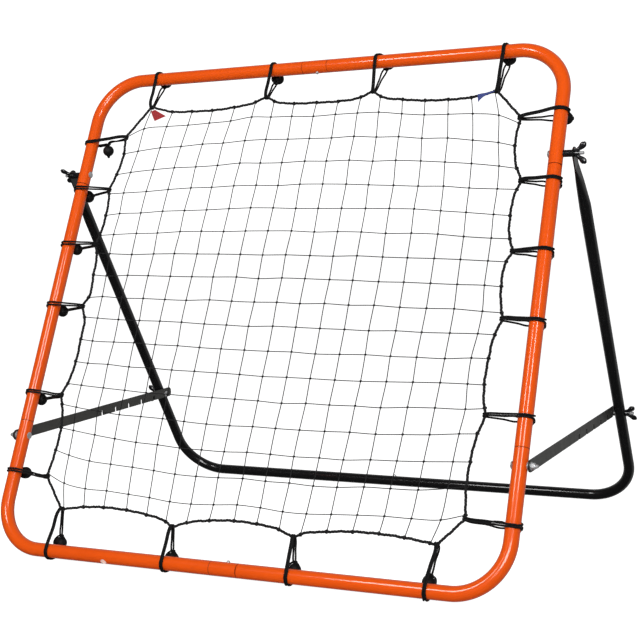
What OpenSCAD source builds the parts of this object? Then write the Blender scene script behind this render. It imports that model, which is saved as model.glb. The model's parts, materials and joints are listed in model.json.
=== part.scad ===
// Pitch back rebounder: a tilted square tube frame with a sprung net, propped by a folding
// rear leg frame and two notched struts. Millimetres, +Z up, +X to the right, front at -Y.
// Origin on the ground, in the middle of the footprint.
// Names ending in _v are heights along the leaning frame, from the bottom bar's centreline.
// Paired pieces are drawn on the right and mirrored to the left.

/* [Front frame] */
// Width of the front frame, between tube centrelines
frame_w = 975; // [960:5:1000]
// Height of the front frame along its leaning plane, between tube centrelines
frame_h = 965; // [960:5:1000]
// How far the front frame leans back from upright, in degrees
lean = 26; // [22:0.5:30]
// Outer diameter of the front frame tube
tube_d = 25; // [25:0.5:26]
// Wall thickness of all tubes
wall = 1.2; // [1:0.1:1.3]
// Bend radius of the frame corners, to the tube centreline
bend_r = 90; // [70:5:100]
// Height along the frame at which the side tubes begin
side_low_v = 238; // [235:1:245]
// Height along the frame at which the side tubes end
side_high_v = 734; // [730:1:742]

/* [Rear leg frame] */
// Outer diameter of the rear frame tube
leg_d = 21; // [20:0.5:22]
// Length from the leg pivot to the ground bar centreline
leg_len = 796.7; // [790:0.1:810]
// Height of the leg pivot along the front frame
pivot_v = 756; // [750:1:765]
// Gap between a side tube and the leg beside it
leg_gap = 11.5; // [11.5:0.5:14]
// Bend radius of the ground bar corners, to the tube centreline
leg_bend_r = 90; // [70:5:110]
// Distance from the pivot to the joint in the leg
leg_seam = 555; // [550:1:560]

/* [Struts] */
// Height of the strut bolt along the front frame
strut_v = 210.5; // [205:0.5:215]
// Distance from the pivot to the bolt that the strut hooks on
leg_bolt_l = 573.5; // [570:0.5:580]
// Width of the strut
strut_w = 20; // [19:0.5:22]
// Thickness of the strut
strut_t = 2.5; // [2:0.1:2.6]
// Distance between notches
notch_pitch = 50; // [40:1:55]
// Number of notches
notch_count = 6; // [3:1:7]

/* [Hardware] */
// Bolt diameter
bolt_d = 6; // [6:0.1:6.4]
// Diameter of the bolt heads
head_d = 12.6; // [12:0.1:14]
// Angle of each wing nut: left pivot, right pivot, left leg, right leg
wing_angles = [46, 0, 5, 40];

/* [Net and ties] */
// Distance between the net's upright twines
mesh_u = 45.3; // [44:0.1:46]
// Distance between the net's level twines
mesh_v = 43.3; // [42:0.1:44]
// Thickness of a twine
twine_d = 1.6; // [1.2:0.1:2.4]
// Thickness of the border rope
rope_d = 5; // [4:0.1:6]
// Thickness of one strand of elastic cord
cord_d = 3.4; // [2.8:0.1:3.6]
// Diameter of a tie ball
ball_d = 22; // [20:0.5:22]
// Positions of the ties across the top bar
top_ties = [-360, -98, 124, 370];
// Height of the border rope at each top tie
top_knots = [898, 906, 901, 884];
// Positions of the ties across the bottom bar
bottom_ties = [-368, -123, 117, 362];
// Height of the border rope at each bottom tie
bottom_knots = [79, 65, 67, 75];
// Heights of the ties on the left tube
left_ties = [140, 293, 473, 601, 721, 832];
// Distance of the border rope from the middle at each left tie
left_knots = [411, 422, 418, 423, 421, 409];
// Heights of the ties on the right tube
right_ties = [116, 290, 454, 578, 708, 836];
// Distance of the border rope from the middle at each right tie
right_knots = [409, 421, 428, 432, 431, 415];

/* [Hidden] */
$fn = 64;

// Clearances
touch = 0.05;                           // between parts that bear on each other
fit = 0.1;                              // radial, in a tube joint
run = 0.07;                             // radial, on a bolt that the part turns on
hole_play = 0.4;                        // on the diameter of a bolt hole in a tube

// Front frame
tube_r = tube_d / 2;
side_x = frame_w / 2;                   // side tube centreline
side_out = side_x + tube_r;             // outer face of a side tube
tie_r = tube_r + touch + cord_d / 2;    // centreline of a cord wrapped on a tube
wrap_r = tube_r + touch + cord_d;       // outside of that cord
bar_z = wrap_r;                         // the bottom bar stands on its cords

// Tube joints
neck = 1.3;                             // length of the step at a narrowed end
insert = 55;                            // length of a tube end inside the next tube
top_seam = -30;
bottom_seam = 22;
rear_seam = -25;

// Rear leg frame
leg_r = leg_d / 2;
leg_x = side_out + leg_gap + leg_r;     // leg centreline
pivot_y = pivot_v * sin(lean);
pivot_z = bar_z + pivot_v * cos(lean);
rear_z = leg_r;                         // ground bar centreline
leg_ang = acos((pivot_z - rear_z) / leg_len);
rear_y = pivot_y + leg_len * sin(leg_ang);
y_mid = (rear_y + leg_r - wrap_r) / 2;  // middle of the footprint, from the bottom bar

// Flattened end of a leg
flat_t = 2 * wall + 0.2;
flat_w = 23;
flat_in = side_out + 17.2;              // inner face
flat_cx = flat_in + flat_t / 2;

// Strut: it turns on the frame's bolt and hooks on the leg's bolt
strut_y = strut_v * sin(lean);
strut_z = bar_z + strut_v * cos(lean);
hook_y = pivot_y + leg_bolt_l * sin(leg_ang);
hook_z = pivot_z - leg_bolt_l * cos(leg_ang);
hook_drop = 2.85;                       // hooked bolt sits this far under the centreline
hook_dist = norm([hook_y - strut_y, hook_z - strut_z]);
hook_along = sqrt(hook_dist * hook_dist - hook_drop * hook_drop);
strut_ang = atan2(hook_z - strut_z, hook_y - strut_y) + asin(hook_drop / hook_dist);
strut_in = 2.9;                         // from side tube to strut's inner face, at its bolt
strut_leg_gap = 1;                      // from strut's outer face to leg, at the hook
strut_skew = atan2(leg_gap - strut_leg_gap - strut_t - strut_in, hook_along);

orange = [0.86, 0.31, 0.10];
coal = [0.06, 0.06, 0.065];
zinc = [0.74, 0.76, 0.78];
iron = [0.20, 0.20, 0.19];
tag_red = [0.78, 0.08, 0.16];
tag_blue = [0.10, 0.25, 0.62];

// ---- Placement ----
// Ground frame, leaning frame (x, depth, height along the frame), leg frame
module stand() translate([0, -y_mid, 0]) children();
module leaning() stand() translate([0, 0, bar_z]) rotate([-lean, 0, 0]) children();
module leg() stand() translate([0, pivot_y, pivot_z]) rotate([leg_ang, 0, 0]) children();
module on_frame(height) leaning() translate([0, 0, height]) children();
// Top bar, with +Z pointing down the frame
module on_top_bar() on_frame(frame_h) mirror([0, 0, 1]) children();
module at_strut() stand() translate([0, strut_y, strut_z]) rotate([strut_ang, 0, 0]) children();
module at_hook() leg() translate([0, 0, -leg_bolt_l]) children();
module at_rear_snap() stand() translate([0, rear_y, rear_z]) children();

// Turns local +Z to point along +X, starting at x
module across(x) translate([x, 0, 0]) rotate([0, 90, 0]) children();
module left() mirror([1, 0, 0]) children();

// ---- Tubes ----
snap_r = 3.2;                           // snap button radius

// A solid L centred on its tube axis: foot along x from start_x to the bend, then up to top_z
module ell(radius, corner_x, start_x, top_z, bend) {
    across(start_x) cylinder(r = radius, h = corner_x - bend - start_x);
    translate([corner_x - bend, 0, bend]) rotate([90, 0, 0]) rotate([0, 0, -90])
        rotate_extrude(angle = 90) translate([bend, 0]) circle(r = radius);
    translate([corner_x, 0, bend]) cylinder(r = radius, h = top_z - bend);
}

// Swaged tube end along +Z: it necks down just before z = 0, where the next tube's mouth is
function male_r(radius) = radius - wall - fit;
module swage_out(radius) {
    translate([0, 0, -neck]) cylinder(r1 = radius, r2 = male_r(radius), h = neck);
    cylinder(r = male_r(radius), h = insert);
}
module swage_in(radius) {
    bore = male_r(radius) - wall;
    translate([0, 0, -neck]) cylinder(r1 = radius - wall, r2 = bore, h = neck);
    translate([0, 0, -0.001]) cylinder(r = bore, h = insert + 1);
}

// Hollow L whose foot ends at the seam, either narrowed to enter the other half or open
module bent_tube(radius, corner_x, seam, male, top_z, bend) difference() {
    union() {
        ell(radius, corner_x, male ? seam + neck : seam, top_z, bend);
        if (male) across(seam) mirror([0, 0, 1]) swage_out(radius);
    }
    ell(radius - wall, corner_x, male ? seam + neck : seam - 1, top_z + 1, bend);
    if (male) across(seam) mirror([0, 0, 1]) swage_in(radius);
}

// Bolt hole along x, reaching both ways from [x, z]
module bolt_hole(x, z, reach) translate([x - reach, 0, z]) rotate([0, 90, 0])
    cylinder(d = bolt_d + hole_play, h = 2 * reach);
module frame_bolt_hole(z) bolt_hole(side_x, z, 30);
module leg_bolt_hole() bolt_hole(leg_x, -leg_bolt_l, 20);

// Round hole for a snap button at x = 0, through the wall on the +Z side
module snap_hole(start, radius) translate([0, 0, start])
    cylinder(r = snap_r + 0.08, h = radius + 2 - start);
module frame_snap_hole() snap_hole(4, tube_r);

// Corner tube of the front frame, drawn for the lower right corner
module corner(seam, male, end_v, bolt_v) difference() {
    bent_tube(tube_r, side_x, seam, male, end_v, bend_r);
    frame_bolt_hole(bolt_v);
    frame_snap_hole();
}
module upper_corner(seam, male) corner(seam, male, frame_h - side_high_v, frame_h - pivot_v);
module lower_corner(seam, male) corner(seam, male, side_low_v, strut_v);

module top_left_corner_tube() color(orange) on_top_bar() left() upper_corner(-top_seam, true);
module top_right_corner_tube() color(orange) on_top_bar() upper_corner(top_seam, false);
// The lower left tube also has a slanting hole through both walls of its bar
module bottom_left_corner_tube() color(orange) leaning() difference() {
    slant_hole_x = -245;
    slant_hole_r = 4.5;
    slant = 30;
    left() lower_corner(-bottom_seam, false);
    translate([slant_hole_x, 0, 0]) rotate([-slant, 0, 0])
        cylinder(r = slant_hole_r, h = 40, center = true);
}
module bottom_right_corner_tube() color(orange) leaning() lower_corner(bottom_seam, true);

// Side tube, narrowed at both ends
module side_straight(radius) translate([side_x, 0, side_low_v + neck])
    cylinder(r = radius, h = side_high_v - side_low_v - 2 * neck);
module side_ends() {
    translate([side_x, 0, side_high_v]) children();
    translate([side_x, 0, side_low_v]) mirror([0, 0, 1]) children();
}
module side_tube() difference() {
    union() {
        side_straight(tube_r);
        side_ends() swage_out(tube_r);
    }
    side_straight(tube_r - wall);
    side_ends() swage_in(tube_r);
    for (bolt_v = [pivot_v, strut_v]) frame_bolt_hole(bolt_v);
}
module left_side_tube() color(orange) leaning() left() side_tube();
module right_side_tube() color(orange) leaning() side_tube();

// Upper leg, from the pivot at z = 0 down
round_top = -103;                       // the tube is round below this

// Section of a leg half way from flat to round
module half_flat(inset) {
    unit_r = 10;
    thin = leg_r * 0.68;
    wide = leg_r * 1.17;
    translate([leg_x - 1.8, 0, -58])
        scale([(thin - inset) / unit_r, (wide - inset) / unit_r, 1])
        cylinder(r = unit_r, h = 1, $fn = 32);
}
// Outline of the flattened end: x is along the leg frame's y, y along its z
module flat_outline() {
    low = -28;
    corner_r = 9;
    corner_y = 1;
    translate([-flat_w / 2, low]) square([flat_w, corner_y - low]);
    for (side = [-1, 1]) translate([side * (flat_w / 2 - corner_r), corner_y])
        circle(r = corner_r);
    translate([-flat_w / 2 + corner_r, 0]) square([flat_w - 2 * corner_r, corner_y + corner_r]);
}
module leg_straight(radius, top_z) translate([leg_x, 0, neck - leg_seam])
    cylinder(r = radius, h = leg_seam + top_z - neck);
module at_leg_seam() translate([leg_x, 0, -leg_seam]) mirror([0, 0, 1]) children();
// The taper's round ends are slightly undersized, to stay inside the straight part
module upper_leg() difference() {
    union() {
        translate([flat_cx, 0, 0]) rotate([90, 0, 90])
            linear_extrude(flat_t, center = true) flat_outline();
        hull() {
            translate([flat_cx, 0, -26]) cube([flat_t, flat_w, 1], center = true);
            half_flat(0);
            translate([leg_x, 0, round_top - 1]) cylinder(r = leg_r - 0.07, h = 2, $fn = 32);
        }
        leg_straight(leg_r, round_top);
        at_leg_seam() swage_out(leg_r);
    }
    hull() {
        translate([flat_cx, 0, -32]) cube([0.2, flat_w - 4, 1], center = true);
        half_flat(wall);
        translate([leg_x, 0, round_top - 1])
            cylinder(r = leg_r - wall - 0.06, h = 1, $fn = 32);
    }
    leg_straight(leg_r - wall, round_top - 0.5);
    at_leg_seam() swage_in(leg_r);
    across(flat_in - 5) cylinder(r = bolt_d / 2 + run, h = 12);
    leg_bolt_hole();
}
module left_upper_leg_tube() color(coal) leg() left() upper_leg();
module right_upper_leg_tube() color(coal) leg() upper_leg();

// Half of the ground bar, with the lower part of a leg
module base_half(seam, male) difference() {
    translate([0, 0, -leg_len]) difference() {
        bent_tube(leg_r, leg_x, seam, male, leg_len - leg_seam, leg_bend_r);
        rotate([-leg_ang, 0, 0]) snap_hole(2, leg_r);
    }
    leg_bolt_hole();
}
module rear_left_base_tube() color(coal) leg() left() base_half(-rear_seam, true);
module rear_right_base_tube() color(coal) leg() base_half(rear_seam, false);

// ---- Struts ----
// Outline: x along the strut from its bolt, y across it, notches open towards -y
module strut_outline() {
    slot_r = bolt_d / 2 + 0.3;
    tail_x = hook_along + 14;           // start of the rounded end
    corner_r = 8;
    lead_ang = 32;                      // where the hooked notch's widened side begins
    lead_out = 12;                      // how far that side runs forwards
    difference() {
        union() {
            circle(d = strut_w);
            translate([0, -strut_w / 2]) square([tail_x, strut_w]);
            translate([tail_x, -strut_w / 2 + corner_r])
                square([corner_r, strut_w - 2 * corner_r]);
            for (side = [-1, 1]) translate([tail_x, side * (strut_w / 2 - corner_r)])
                circle(r = corner_r);
        }
        for (k = [0 : notch_count - 1]) translate([hook_along - k * notch_pitch, 0]) {
            translate([0, -hook_drop]) circle(r = slot_r);
            translate([-slot_r, -strut_w]) square([2 * slot_r, strut_w - hook_drop]);
        }
        // The hooked notch opens forwards, so that the strut lifts off its bolt as the legs close
        translate([hook_along, 0]) polygon([
            [-slot_r * cos(lead_ang), -hook_drop + slot_r * sin(lead_ang)],
            [slot_r, -hook_drop],
            [slot_r, -strut_w],
            [-slot_r - lead_out, -strut_w]]);
    }
}
module strut() difference() {
    translate([side_out + strut_in, 0, 0]) rotate([0, 0, -strut_skew])
        rotate([90, 0, 90]) linear_extrude(strut_t) strut_outline();
    across(side_out - 5) cylinder(r = bolt_d / 2 + run, h = 20);
}
module left_strut() color(iron) at_strut() left() strut();
module right_strut() color(iron) at_strut() strut();

// ---- Bolts, nuts and washers ----
// Round head bolt along +X: head on the -X side of start_x, shank runs to end_x
module bolt(start_x, end_x) {
    chamfer = 0.8;
    head_h = 3.6;
    dome_r = head_d * 0.78;
    across(start_x) cylinder(d = bolt_d, h = end_x - start_x - chamfer);
    across(end_x - chamfer) cylinder(d1 = bolt_d, d2 = bolt_d - 2 * chamfer, h = chamfer);
    across(start_x) rotate([180, 0, 0]) rotate_extrude() intersection() {
        translate([0, head_h - dome_r]) circle(r = dome_r);
        square([head_d / 2, 4]);
    }
}
// Bolt through a side tube, its head on the tube's inner face
module frame_bolt(end_x) bolt(side_x - tube_r - touch, end_x);
module pivot_bolt() on_frame(pivot_v) frame_bolt(flat_in + 18.5);
module strut_bolt() on_frame(strut_v) frame_bolt(side_out + 17.5);
module leg_bolt() at_hook() bolt(side_out + 7.85, leg_x + leg_r + 16);

module left_pivot_bolt() color(zinc) left() pivot_bolt();
module right_pivot_bolt() color(zinc) pivot_bolt();
module left_strut_bolt() color(zinc) left() strut_bolt();
module right_strut_bolt() color(zinc) strut_bolt();
module left_leg_bolt() color(zinc) left() leg_bolt();
module right_leg_bolt() color(zinc) leg_bolt();

// Loose ring on a bolt, along +X from x
module ring(x, outer_d, length) across(x) difference() {
    cylinder(d = outer_d, h = length);
    translate([0, 0, -1]) cylinder(d = bolt_d + 0.3, h = length + 2);
}
module pivot_spacer() on_frame(pivot_v) ring(side_out + touch, 12.4, 17);
module left_pivot_spacer() color(coal) left() pivot_spacer();
module right_pivot_spacer() color(coal) pivot_spacer();

// A washer on each side of the strut, at both frame bolts
module strut_washers() color(zinc) on_frame(strut_v) for (side = [0, 1]) mirror([side, 0, 0]) {
    ring(side_out + touch, 13.5, 2.7);
    ring(side_out + 5.54, 13.5, 1.2);
}

// Wing nut, base at z = 0, wings in the y direction
module wing_nut() difference() {
    union() {
        cylinder(d1 = 13, d2 = 10.5, h = 8);
        // Wing profile: distance from the axis, height
        for (side = [-1, 1]) rotate([0, 0, side * 90]) rotate([90, 0, 0])
            linear_extrude(3.6, center = true) {
                polygon([[3.5, 1.5], [3.5, 7.6], [10, 14.8], [15, 9.6], [6, 1.5]]);
                translate([12.2, 12.8]) circle(r = 5);
            }
    }
    translate([0, 0, -1]) cylinder(r = bolt_d / 2 + 0.06, h = 20);
}
// Wing nut lying against the face at face_x
module wing_on(face_x, angle) across(face_x + 0.1) rotate([0, 0, 90 + angle]) wing_nut();
// The turns by lean and leg_ang bring the nuts back to the ground frame's directions
module pivot_wing(angle) on_frame(pivot_v) rotate([lean, 0, 0])
    wing_on(flat_in + flat_t, angle);
module leg_wing(angle) at_hook() rotate([-leg_ang, 0, 0]) wing_on(leg_x + leg_r, angle);

module left_pivot_wing_nut() color(coal) left() pivot_wing(wing_angles[0]);
module right_pivot_wing_nut() color(coal) pivot_wing(wing_angles[1]);
module left_leg_wing_nut() color(coal) left() leg_wing(wing_angles[2]);
module right_leg_wing_nut() color(coal) leg_wing(wing_angles[3]);

// Hexagon nut with a round collar on its outer side
module lock_nut() on_frame(strut_v) across(side_out + 6.8) difference() {
    across_flats = 10;
    hex_h = 5;
    union() {
        cylinder(d = across_flats / cos(30), h = hex_h, $fn = 6);
        translate([0, 0, hex_h]) cylinder(d1 = 9.4, d2 = 8.4, h = 1.4);
    }
    translate([0, 0, -1]) cylinder(r = bolt_d / 2 + 0.03, h = 10);
}
module left_strut_lock_nut() color(zinc) left() lock_nut();
module right_strut_lock_nut() color(zinc) lock_nut();

// ---- Snap buttons ----
snap_out = 3.5;                         // how far a button stands out of its tube

// Bore radius of the narrowed end inside a tube, and height of the upper leaf's underside
function inner_bore(radius) = radius - 2 * wall - fit;
function leaf_z(radius) = inner_bore(radius) - 2.1;

// Button pushing towards +Z out of a tube of the given outer radius; flange under the leaf
module snap_button(radius) {
    top_z = radius + snap_out - snap_r;
    flange_z = leaf_z(radius) - 1;
    translate([0, 0, flange_z]) cylinder(r = snap_r, h = top_z - flange_z);
    translate([0, 0, top_z]) sphere(r = snap_r);
    translate([0, 0, flange_z]) cylinder(r = snap_r + 0.9, h = 0.8);
}
// V spring along -X: upper leaf under the wall, lower leaf on the far wall
module snap_spring(radius) {
    leaf_t = 0.7;
    fold_r = 2.1;                       // outer radius of the fold
    fold_x = -32;
    leaf_start = fold_x - 0.3;
    leaf_end = 6;
    leaf = [leaf_end - leaf_start, leaf_t];
    upper_z = leaf_z(radius);
    lower_z = upper_z + leaf_t - 2 * fold_r;
    drop = lower_z + inner_bore(radius) - 1.6;
    difference() {
        rotate([90, 0, 0]) linear_extrude(8.4, center = true) {
            translate([leaf_start, upper_z]) square(leaf);
            translate([fold_x, upper_z + leaf_t - fold_r]) difference() {
                circle(r = fold_r);
                circle(r = fold_r - leaf_t);
                translate([0, -3]) square([4, 6]);
            }
            translate([leaf_start, lower_z])
                rotate([0, 0, -asin(drop / (leaf_end - fold_x))]) square(leaf);
        }
        translate([0, 0, upper_z - 1]) cylinder(r = snap_r + 0.15, h = 3);
    }
}
module top_snap_button() color(zinc) on_top_bar() snap_button(tube_r);
module top_snap_spring() color(zinc) on_top_bar() snap_spring(tube_r);
module bottom_snap_button() color(zinc) leaning() snap_button(tube_r);
module bottom_snap_spring() color(zinc) leaning() left() snap_spring(tube_r);
module rear_snap_button() color(zinc) at_rear_snap() snap_button(leg_r);
module rear_snap_spring() color(zinc) at_rear_snap() snap_spring(leg_r);

// ---- Net ----
net_mid_v = 488;
twines_each_side = 8;                   // of the middle twine, in both directions

// Net border through the knots, clockwise from the top left: x, height along the frame
border = concat(
    [for (i = [0 : 3]) [top_ties[i], top_knots[i]]],
    [for (i = [5 : -1 : 0]) [right_knots[i], right_ties[i]]],
    [for (i = [3 : -1 : 0]) [bottom_ties[i], bottom_knots[i]]],
    [for (i = [0 : 5]) [-left_knots[i], left_ties[i]]]);
// The border with each point moved outwards from the net's middle
function grown(growth) = [for (point = border)
    let (spoke = point - [0, net_mid_v], dist = norm(spoke))
    [0, net_mid_v] + spoke * (dist + growth) / dist];
// Slab in the frame's plane, from an outline in x and height
module net_slab(thickness) rotate([90, 0, 0]) linear_extrude(thickness, center = true) children();

module net_mesh() color(coal) leaning() net_slab(twine_d) intersection() {
    polygon(grown(-rope_d / 2 - 0.3));
    for (i = [-twines_each_side : twines_each_side]) {
        translate([i * mesh_u - twine_d / 2, 0]) square([twine_d, frame_h]);
        translate([-side_x, net_mid_v + i * mesh_v - twine_d / 2]) square([frame_w, twine_d]);
    }
}
module net_border_rope() color(coal) leaning() net_slab(rope_d) difference() {
    polygon(grown(rope_d / 2));
    polygon(grown(-rope_d / 2));
}

// Tag on the front of the net, placed just outside and below a knot
module tag(knot_x, knot_v, angle) translate([knot_x - 2, -rope_d / 2 - 0.3, knot_v - 8])
    rotate([0, angle, 0]) rotate([90, 0, 0])
    linear_extrude(0.8) polygon([[0, 6], [30, 7], [33, -9], [6, -12]]);
module red_corner_tag() color(tag_red) leaning() tag(top_ties[0], top_knots[0], 8);
module blue_corner_tag() color(tag_blue) leaning() left() tag(-top_ties[3], top_knots[3], 16);

// ---- Ties ----
// Angle from the knot's direction to where the cord leaves the tube
function leave_ang(dist) = acos(tie_r / dist);

// One tie, drawn as a flat doubled band: round a tube on the local Z axis, towards a knot
// at the given distance on +X
module tie(dist) {
    angle = leave_ang(dist);
    leave = tie_r * [cos(angle), sin(angle)];
    linear_extrude(2 * cord_d + 0.2, center = true) {
        difference() {
            circle(r = tie_r + cord_d / 2);
            circle(r = tie_r - cord_d / 2);
            polygon([[0, 0], 2 * leave, [3 * tie_r, 0], [2 * leave[0], -2 * leave[1]]]);
        }
        for (side = [0, 1]) mirror([0, side]) translate(leave) rotate(angle - 90)
            translate([-1, 0.05 - cord_d / 2])
            square([sqrt(dist * dist - tie_r * tie_r) - 8, cord_d - 0.1]);
    }
}
module top_bungee_cords() color(coal) leaning() for (i = [0 : 3])
    translate([top_ties[i], 0, frame_h]) rotate([0, 90, 0]) tie(frame_h - top_knots[i]);
module bottom_bungee_cords() color(coal) leaning() for (i = [0 : 3])
    translate([bottom_ties[i], 0, 0]) rotate([0, -90, 0]) tie(bottom_knots[i]);
module left_bungee_cords() color(coal) leaning() for (i = [0 : 5])
    translate([-side_x, 0, left_ties[i]]) tie(side_x - left_knots[i]);
module right_bungee_cords() color(coal) leaning() for (i = [0 : 5])
    translate([side_x, 0, right_ties[i]]) rotate([0, 0, 180]) tie(side_x - right_knots[i]);

// Ball places: along the bar, towards the net from the tube's centre. A taut ball sits behind
// its tube against the cords; the top ball of the left tie hangs free beside the cords.
top_balls = [[-360.9, 0], [-100.2, 4.6], [133.9, 0], [372.2, 4.6]];
bottom_balls = [[-367.5, 22.3], [-125.7, 18.3], [115.3, 20.3], [355.1, 21.4]];
left_balls = [[144.5, 4], [289.4, 0], [471.8, 1.1], [603.7, 0.8], [719.3, 0]];
right_balls = [[117, 4], [291.5, 4], [455, 4], [580.5, 4], [710.3, 4], [838.1, -3.3]];

seat = wrap_r + ball_d / 2 + 0.15;      // from tube centre to ball centre
// Depth of a ball against the wrapped cord, at an offset towards the net
function behind(offset) = sqrt(seat * seat - offset * offset);
// The same beside the cord's rear strand, for a knot at the given distance
function behind_strand(offset, dist) = let (angle = leave_ang(dist))
    (seat + 0.1 - offset * cos(angle)) / sin(angle);

module ball() difference() {
    sphere(d = ball_d);
    cylinder(r = 2.2, h = ball_d + 2, center = true);
}
module side_ball(x, offset, height) translate([x, behind(offset), height])
    rotate([0, 90, 0]) ball();

module top_bungee_balls() color(coal) leaning() for (place = top_balls)
    translate([place[0], behind(place[1]), frame_h - place[1]]) ball();
module bottom_bungee_balls() color(coal) leaning() for (i = [0 : 3])
    let (place = bottom_balls[i])
    translate([place[0], behind_strand(place[1], bottom_knots[i]), place[1]]) ball();
module left_bungee_balls() color(coal) leaning() {
    for (place = left_balls) side_ball(-side_x + place[1], place[1], place[0]);
    translate([-side_x + 30.5, 15, left_ties[5] - ball_d / 2 - cord_d - 0.5]) ball();
}
module right_bungee_balls() color(coal) leaning() for (place = right_balls)
    side_ball(side_x - place[1], place[1], place[0]);

top_left_corner_tube();
top_right_corner_tube();
bottom_left_corner_tube();
bottom_right_corner_tube();
left_side_tube();
right_side_tube();
left_upper_leg_tube();
right_upper_leg_tube();
rear_left_base_tube();
rear_right_base_tube();
left_strut();
right_strut();
left_pivot_bolt();
right_pivot_bolt();
left_pivot_spacer();
right_pivot_spacer();
left_pivot_wing_nut();
right_pivot_wing_nut();
left_strut_bolt();
right_strut_bolt();
left_strut_lock_nut();
right_strut_lock_nut();
strut_washers();
left_leg_bolt();
right_leg_bolt();
left_leg_wing_nut();
right_leg_wing_nut();
top_snap_button();
top_snap_spring();
bottom_snap_button();
bottom_snap_spring();
rear_snap_button();
rear_snap_spring();
net_mesh();
net_border_rope();
red_corner_tag();
blue_corner_tag();
top_bungee_cords();
right_bungee_cords();
bottom_bungee_cords();
left_bungee_cords();
top_bungee_balls();
right_bungee_balls();
bottom_bungee_balls();
left_bungee_balls();
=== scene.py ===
"""A knotted net in a square tube frame that leans back on two rear legs.

X runs across (left is -X), -Y is the front and the floor is z = 0. The frame and the net are drawn
in "frame coordinates", in mm: (across, behind, up), which are the distance across, the depth behind
the leaning plane and the height along that plane from the axis of the bottom bar. world() places
them in the scene, in metres. The CAD pieces get materials; the net, border rope, elastic ties,
ribbons and wing nuts are modelled here.
"""
import bmesh
import bpy
import json
import math
import random
from collections import namedtuple

import numpy as np
from mathutils import Matrix, Vector

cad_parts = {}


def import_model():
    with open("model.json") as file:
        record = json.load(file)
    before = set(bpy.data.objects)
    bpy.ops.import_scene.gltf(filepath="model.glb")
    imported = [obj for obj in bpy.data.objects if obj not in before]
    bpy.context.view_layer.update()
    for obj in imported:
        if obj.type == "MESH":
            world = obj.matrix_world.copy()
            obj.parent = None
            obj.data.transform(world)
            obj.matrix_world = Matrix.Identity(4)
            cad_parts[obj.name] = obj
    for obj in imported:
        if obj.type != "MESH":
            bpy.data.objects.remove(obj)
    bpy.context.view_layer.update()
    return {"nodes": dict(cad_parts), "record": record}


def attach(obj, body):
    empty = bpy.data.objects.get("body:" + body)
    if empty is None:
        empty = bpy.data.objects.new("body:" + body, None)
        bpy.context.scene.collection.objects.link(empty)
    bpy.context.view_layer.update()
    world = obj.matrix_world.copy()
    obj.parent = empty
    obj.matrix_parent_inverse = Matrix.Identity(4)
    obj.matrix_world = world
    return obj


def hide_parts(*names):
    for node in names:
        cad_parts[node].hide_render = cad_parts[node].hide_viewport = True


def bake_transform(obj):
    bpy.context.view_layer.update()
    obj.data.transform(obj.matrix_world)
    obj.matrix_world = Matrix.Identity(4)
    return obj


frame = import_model()
rng = random.Random(11)

# ------------------------------------------------------------------ frame sizes, mm
LEAN = math.radians(26.0)
SIN_LEAN, COS_LEAN = math.sin(LEAN), math.cos(LEAN)
TUBE_R = 12.5
LEG_R = 10.5
HALF_WIDTH = 487.5              # centre line to side tube axis
FRAME_H = 965.0                 # bottom bar axis to top bar axis, along the plane
WRAPPED_R = TUBE_R + 0.05 + 3.4  # tube with clearance and one layer of cord
BAR_Z = WRAPPED_R               # height of the bottom bar's axis
PIVOT_UP = 756.0                # leg pivot, along the plane
LEG_LEN = 796.7
LEG_BOLT_ALONG = 573.5          # pivot to the leg's lower bolt, along the leg
SIDE_OUT = HALF_WIDTH + TUBE_R
LEG_X = SIDE_OUT + 11.5 + LEG_R
FLAT_IN = SIDE_OUT + 17.2       # inner face of the flat bar at the pivot
FLAT_T = 2.6

PIVOT_Y, PIVOT_Z = PIVOT_UP * SIN_LEAN, BAR_Z + PIVOT_UP * COS_LEAN
LEG_ANGLE = math.acos((PIVOT_Z - LEG_R) / LEG_LEN)
REAR_Y = PIVOT_Y + LEG_LEN * math.sin(LEG_ANGLE)
MID_Y = (REAR_Y + LEG_R - BAR_Z) / 2    # the scene's y = 0, measured from the bottom bar
LEG_BOLT_Y = PIVOT_Y + LEG_BOLT_ALONG * math.sin(LEG_ANGLE)
LEG_BOLT_Z = PIVOT_Z - LEG_BOLT_ALONG * math.cos(LEG_ANGLE)

BEHIND = np.array([0.0, 1.0, 0.0])      # unit vectors in frame coordinates
ACROSS = np.array([1.0, 0.0, 0.0])
UP = np.array([0.0, 0.0, 1.0])


def world(points):
    """Frame coordinates in mm to scene coordinates in m."""
    points = np.asarray(points, float)
    across, behind, up = points[..., 0], points[..., 1], points[..., 2]
    y = behind * COS_LEAN + up * SIN_LEAN - MID_Y
    z = BAR_Z - behind * SIN_LEAN + up * COS_LEAN
    return np.stack([across, y, z], -1) / 1000.0


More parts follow.
